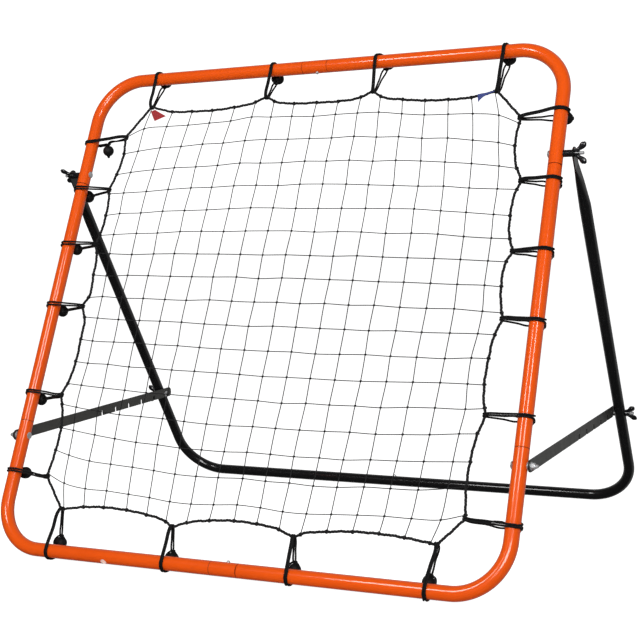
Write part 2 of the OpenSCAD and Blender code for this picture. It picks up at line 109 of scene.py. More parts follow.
# ------------------------------------------------------------------ mesh helpers
class Geo:
    """Collects vertices and faces from several pieces into one mesh."""

    def __init__(self):
        self.verts, self.quads, self.tris, self.count = [], [], [], 0

    def add(self, verts, quads, tris=None):
        verts = np.asarray(verts, float)
        self.quads.append(np.asarray(quads, int) + self.count)
        if tris is not None:
            self.tris.append(np.asarray(tris, int) + self.count)
        self.verts.append(verts)
        self.count += len(verts)

    def obj(self, name, mat, place=world):
        """Make a smooth-shaded object; place turns the vertices into scene metres."""
        verts = place(np.concatenate(self.verts))
        quads = np.concatenate(self.quads)
        tris = np.concatenate(self.tris) if self.tris else np.zeros((0, 3), int)
        mesh = bpy.data.meshes.new(name)
        mesh.vertices.add(len(verts))
        mesh.vertices.foreach_set("co", verts.astype(np.float32).ravel())
        loops = np.concatenate([quads.ravel(), tris.ravel()])
        mesh.loops.add(len(loops))
        mesh.loops.foreach_set("vertex_index", loops)
        mesh.polygons.add(len(quads) + len(tris))
        starts = [np.arange(len(quads)) * 4, len(quads) * 4 + np.arange(len(tris)) * 3]
        mesh.polygons.foreach_set("loop_start", np.concatenate(starts))
        mesh.update(calc_edges=True)
        mesh.validate()
        mesh.polygons.foreach_set("use_smooth", np.ones(len(mesh.polygons), bool))
        obj = bpy.data.objects.new(name, mesh)
        bpy.context.scene.collection.objects.link(obj)
        mesh.materials.append(mat)
        return obj


FLIPPED = [0, 3, 2, 1]      # corner order that turns a grid quad over


def grid_quads(rows, cols, closed_rows=False, closed_cols=True):
    row, col = np.meshgrid(np.arange(rows if closed_rows else rows - 1),
                           np.arange(cols if closed_cols else cols - 1), indexing="ij")
    row2, col2 = (row + 1) % rows, (col + 1) % cols
    corners = [row * cols + col, row * cols + col2, row2 * cols + col2, row2 * cols + col]
    return np.stack(corners, -1).reshape(-1, 4)


def cap_tris(rows, sides):
    """Fans closing both ends of a tube grid; the two tip vertices follow the grid's."""
    tip, last = rows * sides, (rows - 1) * sides
    tris = []
    for k in range(sides):
        tris.append((tip, (k + 1) % sides, k))
        tris.append((tip + 1, last + k, last + (k + 1) % sides))
    return np.array(tris)


def circle(count):
    return np.arange(count) * 2 * math.pi / count


def unit(vector):
    return vector / np.linalg.norm(vector)


def tangents(path, closed):
    if closed:
        tangent = np.roll(path, -1, 0) - np.roll(path, 1, 0)
    else:
        tangent = np.gradient(path, axis=0)
    return tangent / np.linalg.norm(tangent, axis=1, keepdims=True)


def planar_frames(path, closed=False):
    """Section axes for a path in the net's plane: tangent, normal near BEHIND, binormal."""
    tangent = tangents(path, closed)
    normal = BEHIND - (tangent @ BEHIND)[:, None] * tangent
    normal /= np.linalg.norm(normal, axis=1, keepdims=True)
    return tangent, normal, np.cross(tangent, normal)


def carried_frames(path):
    """Section axes carried along a free path without twisting."""
    tangent = tangents(path, False)
    normal = np.zeros_like(path)
    start = BEHIND if abs(tangent[0][1]) < 0.8 else ACROSS
    normal[0] = unit(start - (start @ tangent[0]) * tangent[0])
    for i in range(1, len(path)):
        previous = normal[i - 1]
        normal[i] = unit(previous - (previous @ tangent[i]) * tangent[i])
    return tangent, normal, np.cross(tangent, normal)


def sweep(geo, path, frames, radius, sides, closed=False, shape=None):
    """Sweep a round section, scaled by shape(angle, station), along a path with pointed caps."""
    tangent, normal, binormal = frames
    angle = circle(sides)
    count = len(path)
    base = np.asarray(radius, float) * np.ones(count)
    radii = base[:, None] * np.ones((1, sides))
    if shape is not None:
        radii = radii * shape(angle[None, :], np.arange(count)[:, None])
    rim = (np.cos(angle)[None, :, None] * normal[:, None, :]
           + np.sin(angle)[None, :, None] * binormal[:, None, :])
    verts = (path[:, None, :] + radii[..., None] * rim).reshape(-1, 3)
    quads = grid_quads(count, sides, closed_rows=closed)
    if closed:
        geo.add(verts, quads)
        return
    bulge = 0.45            # height of the end caps, in radii
    tips = [path[0] - tangent[0] * base[0] * bulge, path[-1] + tangent[-1] * base[-1] * bulge]
    geo.add(np.vstack([verts, *tips]), quads, cap_tris(count, sides))


def spline(controls, step, closed=False):
    """Smooth cubic curve through the control points, resampled at an even step."""
    controls = np.asarray(controls, float)
    count = len(controls)
    pieces = []
    for i in range(count if closed else count - 1):
        p1, p2 = controls[i], controls[(i + 1) % count]
        if closed:
            p0, p3 = controls[(i - 1) % count], controls[(i + 2) % count]
        else:
            p0 = controls[i - 1] if i > 0 else 2 * p1 - p2
            p3 = controls[i + 2] if i + 2 < count else 2 * p2 - p1
        d = np.linalg.norm(p2 - p1)
        d0 = max(np.linalg.norm(p1 - p0), 1e-6)
        d3 = max(np.linalg.norm(p3 - p2), 1e-6)
        m1 = ((p1 - p0) / d0 * d / (d0 + d) + (p2 - p1) / d * d0 / (d0 + d)) * d
        m2 = ((p2 - p1) / d * d3 / (d3 + d) + (p3 - p2) / d3 * d / (d3 + d)) * d
        samples = max(2, int(d / step * 2) + 1)
        s = (np.arange(samples) / samples)[:, None]
        pieces.append((2 * s**3 - 3 * s**2 + 1) * p1 + (s**3 - 2 * s**2 + s) * m1
                      + (-2 * s**3 + 3 * s**2) * p2 + (s**3 - s**2) * m2)
    pieces.append(pieces[0][:1] if closed else controls[-1:])
    curve = np.vstack(pieces)
    spans = np.linalg.norm(np.diff(curve, axis=0), axis=1)
    length = np.concatenate([[0], np.cumsum(spans)])
    stations = np.linspace(0, length[-1], max(3, int(round(length[-1] / step))) + 1)
    even = np.stack([np.interp(stations, length, curve[:, axis]) for axis in range(3)], -1)
    return even[:-1] if closed else even


def torus(major, minor, around, sides):
    turn, section = np.meshgrid(circle(around), circle(sides), indexing="ij")
    reach = major + minor * np.cos(section)
    verts = np.stack([reach * np.cos(turn), reach * np.sin(turn), minor * np.sin(section)], -1)
    return verts.reshape(-1, 3), grid_quads(around, sides, closed_rows=True)[:, FLIPPED]


def lathe(profile, sides):
    """Solid of revolution about z from (radius, z) points that start and end on the axis."""
    profile = np.asarray(profile, float)
    mid = profile[1:-1]
    angle = circle(sides)
    verts = np.stack([mid[:, None, 0] * np.cos(angle), mid[:, None, 0] * np.sin(angle),
                      np.repeat(mid[:, None, 1], sides, 1)], -1).reshape(-1, 3)
    verts = np.vstack([verts, [0, 0, profile[0][1]], [0, 0, profile[-1][1]]])
    return verts, grid_quads(len(mid), sides), cap_tris(len(mid), sides)


def rot_to(z, x=None):
    """Rotation whose z axis is z and whose x axis is as near as it can be to x."""
    z = unit(np.asarray(z, float))
    hint = x if x is not None else (ACROSS if abs(z[0]) < 0.9 else BEHIND)
    hint = unit(hint - (hint @ z) * z)
    return np.stack([hint, np.cross(z, hint), z], 1)


# ------------------------------------------------------------------ materials
def rgba(color):
    return (*color, 1.0) if isinstance(color, tuple) else color


def scaled(color, factor):
    return tuple(channel * factor for channel in color)


class Shader:
    """A material with one Principled shader, and short ways to add nodes to it."""

    def __init__(self, name):
        self.material = bpy.data.materials.new(name)
        self.material.use_nodes = True
        self.tree = self.material.node_tree
        self.tree.nodes.clear()
        output = self.node("OutputMaterial")
        self.bsdf = self.node("BsdfPrincipled")
        self.tree.links.new(self.bsdf.outputs[0], output.inputs[0])
        self.coords = self.node("TexCoord").outputs["Object"]

    def node(self, kind, **settings):
        node = self.tree.nodes.new("ShaderNode" + kind)
        for key, value in settings.items():
            setattr(node, key, value)
        return node

    def put(self, socket, value):
        if isinstance(value, bpy.types.NodeSocket):
            self.tree.links.new(value, socket)
        else:
            socket.default_value = value

    def surface(self, inputs):
        for name, value in inputs.items():
            self.put(self.bsdf.inputs[name], value)

    def noise(self, scale, detail=4, rough=0.55):
        node = self.node("TexNoise")
        node.inputs["Scale"].default_value = scale
        node.inputs["Detail"].default_value = detail
        node.inputs["Roughness"].default_value = rough
        self.put(node.inputs["Vector"], self.coords)
        return node.outputs["Fac"]

    def wave(self, direction, scale, distortion=0.0):
        node = self.node("TexWave", wave_type="BANDS", bands_direction=direction)
        node.inputs["Scale"].default_value = scale
        node.inputs["Distortion"].default_value = distortion
        self.put(node.inputs["Vector"], self.coords)
        return node.outputs["Fac"]

    def math(self, operation, first, second=0.0):
        node = self.node("Math", operation=operation)
        self.put(node.inputs[0], first)
        self.put(node.inputs[1], second)
        return node.outputs[0]

    def times(self, first, second):
        return self.math("MULTIPLY", first, second)

    def vector(self, operation, vector, other, output="Value"):
        node = self.node("VectorMath", operation=operation)
        self.put(node.inputs[0], vector)
        node.inputs[1].default_value = other
        return node.outputs[output]

    def ramp(self, value, start, end, low=0.0, high=1.0):
        """Smooth step from low at start to high at end."""
        node = self.node("MapRange", interpolation_type="SMOOTHSTEP")
        for socket, setting in zip(node.inputs, (value, start, end, low, high)):
            self.put(socket, setting)
        return node.outputs[0]

    def mix(self, factor, first, second):
        node = self.node("Mix", data_type="RGBA")
        self.put(node.inputs[0], factor)
        self.put(node.inputs[6], rgba(first))
        self.put(node.inputs[7], rgba(second))
        return node.outputs[2]

    def bump(self, height, strength, distance):
        node = self.node("Bump")
        node.inputs["Strength"].default_value = strength
        node.inputs["Distance"].default_value = distance
        self.put(node.inputs["Height"], height)
        return node.outputs[0]


def powder_coat(name, base, dark, rough, coat, peel, specular):
    """Baked paint: orange peel, faint clouds and specks. Returns the shader and its colour."""
    sh = Shader(name)
    clouds = sh.ramp(sh.noise(9, detail=3), 0.35, 0.7)
    color = sh.mix(clouds, base, dark)
    specks = sh.ramp(sh.noise(900, detail=2), 0.72, 0.76)
    bright = tuple(min(1, channel * 1.5 + 0.02) for channel in base)
    color = sh.mix(sh.times(specks, 0.22), color, bright)
    smears = sh.times(sh.ramp(sh.noise(26, detail=5, rough=0.6), 0.3, 0.75), 0.10)
    orange_peel = sh.noise(760, detail=2, rough=0.45)
    sh.surface({
        "Base Color": color,
        "Roughness": sh.math("ADD", smears, rough - 0.05),
        "Coat Weight": coat,
        "Coat Roughness": 0.11,
        "Specular IOR Level": specular,
        "Normal": sh.bump(orange_peel, strength=peel, distance=0.0004),
        "Coat Normal": sh.bump(orange_peel, strength=peel * 0.6, distance=0.0004),
    })
    return sh, color


def worn_joints(sh, color):
    """Darken thin broken lines where the tubes join, given as planes (normal, offset in m)."""
    up_plane = (0, SIN_LEAN, COS_LEAN)
    planes = [(up_plane, (up + (-MID_Y * SIN_LEAN + BAR_Z * COS_LEAN)) / 1000.0)
              for up in (238.2, 733.8)]
    planes += [((1.0, 0, 0), x) for x in (-0.030, 0.022)]
    mask = None
    for normal, offset in planes:
        along = sh.vector("DOT_PRODUCT", sh.coords, normal)
        gap = sh.math("ABSOLUTE", sh.math("SUBTRACT", along, offset))
        band = sh.ramp(gap, 0.0, 0.0020, low=1.0, high=0.0)
        mask = band if mask is None else sh.math("MAXIMUM", mask, band)
    breaks = sh.ramp(sh.noise(240, detail=3, rough=0.6), 0.25, 0.6, low=0.6)
    line = sh.times(sh.ramp(mask, 0.35, 0.85), breaks)
    return sh.mix(sh.times(line, 0.7), color, (0.20, 0.030, 0.006))


def orange_paint():
    sh, color = powder_coat("orange_powder_coat", base=(0.900, 0.1000, 0.0030),
                            dark=(0.860, 0.0930, 0.0026), rough=0.36, coat=1.0, peel=0.012,
                            specular=0.12)
    color = worn_joints(sh, color)
    # bare metal at the peg hole, drilled in the front underside of the bottom bar, with a painted
    # glow on its inner wall
    hole_x, hole_angle, mouth_r = -245.0, math.radians(30), 12.3
    axis = world([hole_x, 0, 0])
    mouth = world([hole_x, -mouth_r * math.sin(hole_angle), -mouth_r * math.cos(hole_angle)])
    from_mouth = sh.vector("DISTANCE", sh.coords, tuple(mouth))
    rim = sh.ramp(from_mouth, 0.0052, 0.0064, low=1.0, high=0.0)
    flat = sh.vector("MULTIPLY", sh.coords, (0.0, 1.0, 1.0), output="Vector")
    from_axis = sh.vector("DISTANCE", flat, (0.0, float(axis[1]), float(axis[2])))
    inner_wall = sh.times(sh.ramp(from_axis, 0.0116, 0.0120, low=1.0, high=0.0),
                          sh.ramp(from_mouth, 0.024, 0.040, low=1.0, high=0.0))
    bare = sh.math("MAXIMUM", rim, inner_wall)
    sh.surface({
        "Base Color": sh.mix(bare, color, (0.86, 0.78, 0.74)),
        # painted glow on the inner wall, standing in for daylight that reaches it through the hole
        "Emission Color": rgba((0.9, 0.66, 0.58)),
        "Emission Strength": sh.times(inner_wall, 0.30),
    })
    return sh.material


def black_paint():
    return powder_coat("black_powder_coat", base=(0.0070, 0.0070, 0.0074),
                       dark=(0.0085, 0.0085, 0.009), rough=0.30, coat=1.0, peel=0.012,
                       specular=0.2)[0].material


def strut_paint():
    """Grey on the faces towards the sides; the edges between them and the slot walls get painted
    shade, near black.
    """
    sh, color = powder_coat("strut_coat", base=(0.046, 0.046, 0.042), dark=(0.060, 0.060, 0.054),
                            rough=0.42, coat=0.10, peel=0.04, specular=0.5)
    split = sh.node("SeparateXYZ")
    sh.put(split.inputs[0], sh.node("NewGeometry").outputs["Normal"])
    # painted shade: faces turned away from the sides, such as slot walls and edges, darkened
    # towards near black
    edges = sh.ramp(sh.math("ABSOLUTE", split.outputs[0]), 0.5, 0.9, low=1.0, high=0.0)
    sh.surface({"Base Color": sh.mix(sh.times(edges, 0.8), color, (0.008, 0.008, 0.008))})
    return sh.material


def zinc_plate():
    sh = Shader("zinc_plate")
    color = sh.mix(sh.ramp(sh.noise(160), 0.35, 0.7), (0.66, 0.67, 0.68), (0.54, 0.545, 0.55))
    stains = sh.ramp(sh.noise(45, rough=0.6), 0.52, 0.72)
    color = sh.mix(sh.times(stains, 0.5), color, (0.40, 0.39, 0.36))
    sh.surface({
        "Base Color": color,
        "Metallic": 0.55,
        "Roughness": sh.ramp(sh.noise(300, detail=5, rough=0.7), 0.3, 0.7, low=0.26, high=0.44),
        "Normal": sh.bump(sh.noise(1500, detail=3), strength=0.08, distance=0.0002),
    })
    return sh.material


def black_zinc():
    sh = Shader("black_zinc")
    clouds = sh.ramp(sh.noise(220), 0.4, 0.75)
    sh.surface({
        "Base Color": sh.mix(clouds, (0.008, 0.008, 0.010), (0.018, 0.018, 0.021)),
        "Metallic": 0.25,
        "Roughness": sh.ramp(sh.noise(350), 0.3, 0.7, low=0.20, high=0.36),
        "Coat Weight": 1.0,
        "Coat Roughness": 0.14,
        "Normal": sh.bump(sh.noise(900, detail=3), strength=0.12, distance=0.0003),
    })
    return sh.material


def braid(name, base, light, scale, rough, sheen, strength):
    """Braided or twisted fibre: fine crossed threads, fuzz and slight fading."""
    sh = Shader(name)
    threads = sh.times(sh.wave("DIAGONAL", scale, distortion=1.2), 0.6)
    fuzz = sh.times(sh.noise(scale * 9, rough=0.7), 0.7)
    fibre = sh.math("ADD", threads, fuzz)
    color = sh.mix(sh.ramp(fibre, 0.35, 1.0), base, light)
    fading = sh.times(sh.ramp(sh.noise(20, detail=3), 0.4, 0.7), 0.35)
    sh.surface({
        "Base Color": sh.mix(fading, color, scaled(light, 1.6)),
        "Roughness": sh.ramp(fibre, 0.2, 1.0, low=rough - 0.08, high=rough + 0.10),
        "Sheen Weight": sheen,
        "Sheen Roughness": 0.5,
        "Specular IOR Level": 0.18,
        "Normal": sh.bump(fibre, strength=strength, distance=0.0004),
    })
    return sh.material


def ball_plastic():
    sh = Shader("moulded_ball_plastic")
    clouds = sh.ramp(sh.noise(60), 0.4, 0.7)
    grain = sh.math("ADD", sh.noise(1100, detail=3), sh.noise(150, detail=3))
    sh.surface({
        "Base Color": sh.mix(clouds, (0.0050, 0.0050, 0.0052), (0.0105, 0.0105, 0.011)),
        "Roughness": sh.ramp(sh.noise(240, detail=5, rough=0.65), 0.3, 0.7, low=0.50, high=0.68),
        "Specular IOR Level": 0.25,
        "Normal": sh.bump(grain, strength=0.10, distance=0.0004),
    })
    return sh.material


def ribbon_cloth(name, base, dark):
    """Plain weave from two crossed sets of bands."""
    sh = Shader(name)
    weave = sh.times(sh.wave("X", 520.0), sh.wave("Z", 420.0))
    shade = sh.math("ADD", weave, sh.times(sh.noise(90), 0.6))
    sh.surface({
        "Base Color": sh.mix(sh.ramp(shade, 0.2, 1.1), dark, base),
        "Roughness": sh.ramp(weave, 0, 1, low=0.62, high=0.42),
        "Sheen Weight": 0.35,
        "Normal": sh.bump(weave, strength=0.35, distance=0.0003),
    })
    return sh.material


ORANGE, BLACK, STRUT = orange_paint(), black_paint(), strut_paint()
ZINC, IRON = zinc_plate(), black_zinc()
TWINE = braid("net_twine", base=(0.007, 0.007, 0.0073), light=(0.018, 0.018, 0.019),
              scale=420, rough=0.72, sheen=0.05, strength=0.6)
ROPE = braid("border_rope", base=(0.006, 0.006, 0.0065), light=(0.016, 0.016, 0.017),
             scale=260, rough=0.70, sheen=0.05, strength=0.6)
CORD = braid("elastic_cord_braid", base=(0.0030, 0.0030, 0.0032), light=(0.0095, 0.0095, 0.0100),
             scale=520, rough=0.66, sheen=0.02, strength=0.40)
BALL = ball_plastic()
RED = ribbon_cloth("red_ribbon", base=(0.520, 0.0035, 0.012), dark=(0.34, 0.002, 0.008))
BLUE = ribbon_cloth("blue_ribbon", base=(0.022, 0.048, 0.290), dark=(0.012, 0.026, 0.16))

SLOT_MATERIALS = {
    "orange_paint": ORANGE, "black_paint": BLACK, "strut_paint": STRUT, "zinc_steel": ZINC,
    "black_hardware": IRON, "elastic_cord": CORD, "ball_plastic": BALL, "net_twine": TWINE,
    "red_ribbon": RED, "blue_ribbon": BLUE,
}
for part in frame["record"]["subparts"]:
    part_materials = frame["nodes"][part["node"]].data.materials
    part_materials.clear()
    part_materials.append(SLOT_MATERIALS[part["material_slot"]])

# ------------------------------------------------------------------ tie places, mm
CORD_R = 1.74
CORD_WRAP_R = TUBE_R + CORD_R + 0.04    # tube axis to cord axis
BALL_R = 11.0
SEAT = WRAPPED_R + BALL_R + 0.15        # tube axis to the centre of a ball resting on the cord

# knot: place on the border rope (across, up); crossing: place along the tube;
# ball: centre (along the tube, towards the net, behind); gap: half the strands' gap on the tube
Tie = namedtuple("Tie", "knot crossing ball gap", defaults=(1.80,))


def seated(along, inward):
    """Centre of a ball that rests on the back of the tube."""
    return (along, inward, math.sqrt(SEAT * SEAT - inward * inward))


TIES = {
    "top": [
        Tie((-362.5, 902.5), -358, seated(-359.0, -7.5)),
        Tie((-100.7, 907.5), -95, seated(-98.6, 3.4)),
        Tie((124.2, 903.6), 124, seated(134.6, -9.5)),
        Tie((367, 886), 373, seated(373.2, -0.8)),
    ],
    "right": [
        Tie((409, 119), 112, seated(117, 4)),
        Tie((421.2, 290), 289, seated(291.5, 4)),
        Tie((429, 456), 452, seated(455, 4)),
        Tie((432.2, 577.8), 577, seated(580.5, 4)),
        Tie((432, 708), 707, seated(710.3, 4)),
        Tie((416.5, 830.5), 838, seated(838.1, -3.3)),
    ],
    "bottom": [
        Tie((-363.6, 76.6), -368, (-366.0, 19.8, 23.6)),
        Tie((-123.7, 62.8), -123, (-124.7, 12.6, 24.2)),
        Tie((113.2, 64.8), 118, (114.3, 14.8, 24.0)),
        Tie((367, 73.8), 361, (353.2, 16.4, 23.9)),
    ],
    "left": [
        Tie((-412.4, 135.5), 141, seated(144.5, 4), gap=2.2),
        Tie((-423.2, 292.8), 295, seated(289.4, 0), gap=2.2),
        Tie((-421.2, 472.6), 473.5, seated(471.8, 1.1), gap=2.9),
        Tie((-423, 602), 601.5, seated(603.7, 0.8), gap=2.9),
        Tie((-421, 720), 722, seated(719.3, 0), gap=2.6),
        # this ball hangs free of the tube
        Tie((-409.3, 837.2), 825, (816.4, 31.4, 15.0)),
    ],
}
HANGING_HOLE = (0.02, -0.438, 0.899)    # way the hanging ball's hole points

# ------------------------------------------------------------------ the net
# Ends of the twines on the border rope, mm: across from left to right for the top and bottom
# edges, up from top to bottom for the left and right edges
TOP_ENDS = np.column_stack((
    [-361, -309.8, -264, -217, -168, -123, -82, -38, 10, 55, 101, 141, 186, 231, 276, 320, 363],
    [900.4, 888.6, 886.3, 885.8, 889.3, 897.6, 896.6, 888.8, 887.5, 887, 892.6, 891.6, 881.8,
     876.6, 875.2, 876.4, 883.2]))
BOTTOM_ENDS = np.column_stack((
    [-359, -316, -273, -224, -180, -138, -96, -52, -3, 41, 85, 126, 173, 219, 266, 311, 356],
    [79, 84.4, 87, 85.6, 80.7, 71.2, 73, 80.2, 83.4, 81.5, 75.4, 71.0, 78.9, 82.9, 83.3, 80.8,
     75.4]))
LEFT_ENDS = np.column_stack((
    [-409.3, -404.4, -410.5, -419, -414, -417.5, -415.5, -411.5, -410.9, -410.0, -406.6, -406.5,
     -413.5, -415.4, -405.6, -406, -412.4],
    [836.4, 800, 754, 712, 665, 622, 584, 538, 490.9, 450.6, 405, 360, 316, 275, 229, 186,
     140.6]))
RIGHT_ENDS = np.column_stack((
    [415, 412.4, 420.9, 425.2, 419.5, 424, 422.8, 419.4, 426.3, 418.5, 413.6, 411.8, 417.5,
     411.2, 404.4, 403.2, 408.5],
    [819, 775, 731.6, 691.8, 643, 600, 558, 513, 466.8, 428, 386.4, 341, 301, 258.3, 211.2,
     170.6, 125]))
COUNT = len(TOP_ENDS)           # twines each way
TWINE_R = 0.84
TWINE_STEP = 1.7
TWINE_PITCH = 7.0
TURN_R = 0.78                   # twine radius in knots and lashings
ROPE_STEP = 1.5


def relaxed_knots():
    """Knots of an evenly pulled net: each rests at the mean of its four neighbours."""
    size = COUNT * COUNT
    pulls = np.zeros((size, size))
    anchors = np.zeros((size, 2))
    border_pull = 1.6           # the outermost meshes are cut short
    for i in range(COUNT):
        for j in range(COUNT):
            k = i * COUNT + j
            for (a, b, end) in ((i - 1, j, LEFT_ENDS[j]), (i + 1, j, RIGHT_ENDS[j]),
                                (i, j - 1, TOP_ENDS[i]), (i, j + 1, BOTTOM_ENDS[i])):
                if 0 <= a < COUNT and 0 <= b < COUNT:
                    pulls[k, k] += 1
                    pulls[k, a * COUNT + b] -= 1
                else:
                    pulls[k, k] += border_pull
                    anchors[k] += border_pull * end
    knots = np.linalg.solve(pulls, anchors).reshape(COUNT, COUNT, 2)
    for i in range(COUNT):
        for j in range(COUNT):
            knots[i, j] += (rng.uniform(-1.3, 1.3), rng.uniform(-1.3, 1.3))
    return knots


def twine_section(angle, station):
    """Two-strand twist."""
    return 0.93 + 0.15 * np.cos(angle - station * TWINE_STEP * 2 * math.pi / TWINE_PITCH) ** 2


def add_twine(geo, start, knots, end):
    points = [(start[0], 0, start[1])]
    points += [(knot[0], rng.uniform(-0.3, 0.3), knot[1]) for knot in knots]
    points += [(end[0], 0, end[1])]
    path = spline(points, TWINE_STEP)
    sweep(geo, path, planar_frames(path), TWINE_R, 6, shape=twine_section)


def add_knots(geo, knots):
    """Two loops drawn tight over each other, and a smaller turn round the other twine."""
    verts, quads = torus(1.45, TURN_R, 12, 6)
    loops = [  # axis, offset, scale
        ((0.75, 0.45, 0.6), -0.35, 1.0),
        ((-0.7, 0.5, 0.55), 0.35, 1.0),
        ((0.15, 0.95, -0.1), 0.0, 0.82),
    ]
    for x, z in knots.reshape(-1, 2):
        centre = np.array([x, 0, z])
        spin = rng.uniform(-0.35, 0.35)
        cos, sin = math.cos(spin), math.sin(spin)
        for axis, offset, scale in loops:
            turned = (axis[0] * cos - axis[2] * sin, axis[1], axis[0] * sin + axis[2] * cos)
            loop = (verts * [scale * 1.1, scale * 0.9, 1]) @ rot_to(turned).T
            geo.add(loop + centre + np.array([offset, 0.2 * offset, offset * 0.6]), quads)


def border_points():
    """Clockwise (seen from the front) points of the rope, and whether a tie pulls there."""
    edges = [  # side, twine ends, sorting axis, sorting sign
        ("top", TOP_ENDS, 0, 1), ("right", RIGHT_ENDS, 1, -1),
        ("bottom", BOTTOM_ENDS, 0, -1), ("left", LEFT_ENDS, 1, 1),
    ]
    merge_within = 7.0
    points = []
    for side, ends, axis, sign in edges:
        edge = [(tuple(end), False) for end in ends] + [(tie.knot, True) for tie in TIES[side]]
        edge.sort(key=lambda entry: sign * entry[0][axis])
        for place, tied in edge:
            if points:
                last = points[-1][0]
                if math.hypot(place[0] - last[0], place[1] - last[1]) < merge_within:
                    if tied:
                        points[-1] = (place, tied)
                    continue
            points.append((place, tied))
    return points


def border_path():
    """Axis of the border rope, with a sharp corner at each tie and slight kinks."""
    points = border_points()
    controls = []
    for k, (place, tied) in enumerate(points):
        depth = rng.uniform(-0.4, 0.4)
        here = (place[0], depth, place[1])
        if not tied:
            controls.append(here)
            continue
        shoulders = []
        for neighbour in (points[k - 1][0], points[(k + 1) % len(points)][0]):
            way = np.array(neighbour, float) - np.array(place, float)
            distance = np.linalg.norm(way)
            shoulder = np.array(place, float) + way * min(6.0, distance * 0.45) / distance
            shoulders.append((shoulder[0], depth, shoulder[1]))
        controls += [shoulders[0], here, shoulders[1]]
    path = spline(controls, ROPE_STEP, closed=True)
    s = np.arange(len(path)) * ROPE_STEP
    kinks = (0.35 * np.sin(s * 2 * math.pi / 31.0)
             + 0.25 * np.sin(s * 2 * math.pi / 13.7 + 1.0))
    return path + planar_frames(path, closed=True)[2] * kinks[:, None]


def laid_rope(path, frames):
    """Three strands twisted round the path."""
    strand_r, strand_offset, pitch = 1.52, 1.10, 17.0
    rope = Geo()
    count = len(path)
    s = np.arange(count) * ROPE_STEP
    turns = round(count * ROPE_STEP / pitch)
    for k in range(3):
        angle = np.arange(count) * 2 * math.pi * turns / count + k * 2 * math.pi / 3
        strand = path + strand_offset * (np.cos(angle)[:, None] * frames[1]
                                         + np.sin(angle)[:, None] * frames[2])
        lumps = 1.0 + 0.05 * np.sin(s * 2 * math.pi / 9.1 + k)
        sweep(rope, strand, planar_frames(strand, closed=True), strand_r * lumps, 8, closed=True)
    return rope


def nearest_on_rope(place):
    """Point and tangent of the border rope nearest to (across, up)."""
    i = int(np.linalg.norm(ROPE_PATH - np.array([place[0], 0, place[1]]), axis=1).argmin())
    return ROPE_PATH[i], ROPE_FRAMES[0][i]


def add_lashings(geo):
    """Two short turns that bind each twine's end to the border rope."""
    verts, quads = torus(3.05, TURN_R, 16, 6)
    for ends in (TOP_ENDS, BOTTOM_ENDS, LEFT_ENDS, RIGHT_ENDS):
        for end in ends:
            centre, along = nearest_on_rope(end)
            for shift in (-0.85, 0.85):
                tilt = rot_to(along + np.array([0, 0.25 * shift, 0]), BEHIND)
                geo.add(verts @ tilt.T + centre + along * shift, quads)


net = Geo()
KNOTS = relaxed_knots()
for i in range(COUNT):
    add_twine(net, TOP_ENDS[i], KNOTS[i], BOTTOM_ENDS[i])
for j in range(COUNT):
    add_twine(net, LEFT_ENDS[j], KNOTS[:, j], RIGHT_ENDS[j])
add_knots(net, KNOTS)
ROPE_PATH = border_path()
ROPE_FRAMES = planar_frames(ROPE_PATH, closed=True)
rope = laid_rope(ROPE_PATH, ROPE_FRAMES)
add_lashings(net)

net_obj = net.obj("net_knotted_twine", TWINE)
rope_obj = rope.obj("net_laid_border_rope", ROPE)
for obj, node in ((net_obj, "net_mesh"), (rope_obj, "net_border_rope")):
    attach(obj, "net")
    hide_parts(node)

# ------------------------------------------------------------------ elastic ties
# Each side tube: direction along it, direction to the net, and its origin
SIDE_AXES = {
    "top": (ACROSS, -UP, UP * FRAME_H),
    "bottom": (ACROSS, UP, UP * 0.0),
    "left": (UP, ACROSS, ACROSS * -HALF_WIDTH),
    "right": (UP, -ACROSS, ACROSS * HALF_WIDTH),
}
# Half the strands' gap just outside the ball
FANS = {"top": 3.2, "right": 3.3, "bottom": 2.1, "left": 1.9}
# How the strands lie there: 0 side by side along the tube, 1 one behind the other
LIES = {"top": 0.0, "right": 0.0, "bottom": 0.0, "left": 0.30}
HANGING_LIE = 1.0


def side_frame(side, at):
    """Direction along the tube, direction to the net, and the tube's centre at a place."""
    along, inward, origin = SIDE_AXES[side]
    return along, inward, origin + along * at


def ball_centre(side, tie):
    _, inward, centre = side_frame(side, tie.ball[0])
    return centre + inward * tie.ball[1] + BEHIND * tie.ball[2]


def hole_way(side, tie, given):
    """Direction of the ball's hole: as given, or towards the knot."""
    if given is not None:
        return unit(np.asarray(given, float))
    return unit(nearest_on_rope(tie.knot)[0] - ball_centre(side, tie))


def cord_section(angle, station):
    """Faint crossed braid."""
    twist = station * 1.5 * 2 * math.pi / 4.2
    return 1.0 + 0.045 * np.cos(4 * angle + twist) * np.cos(4 * angle - twist)


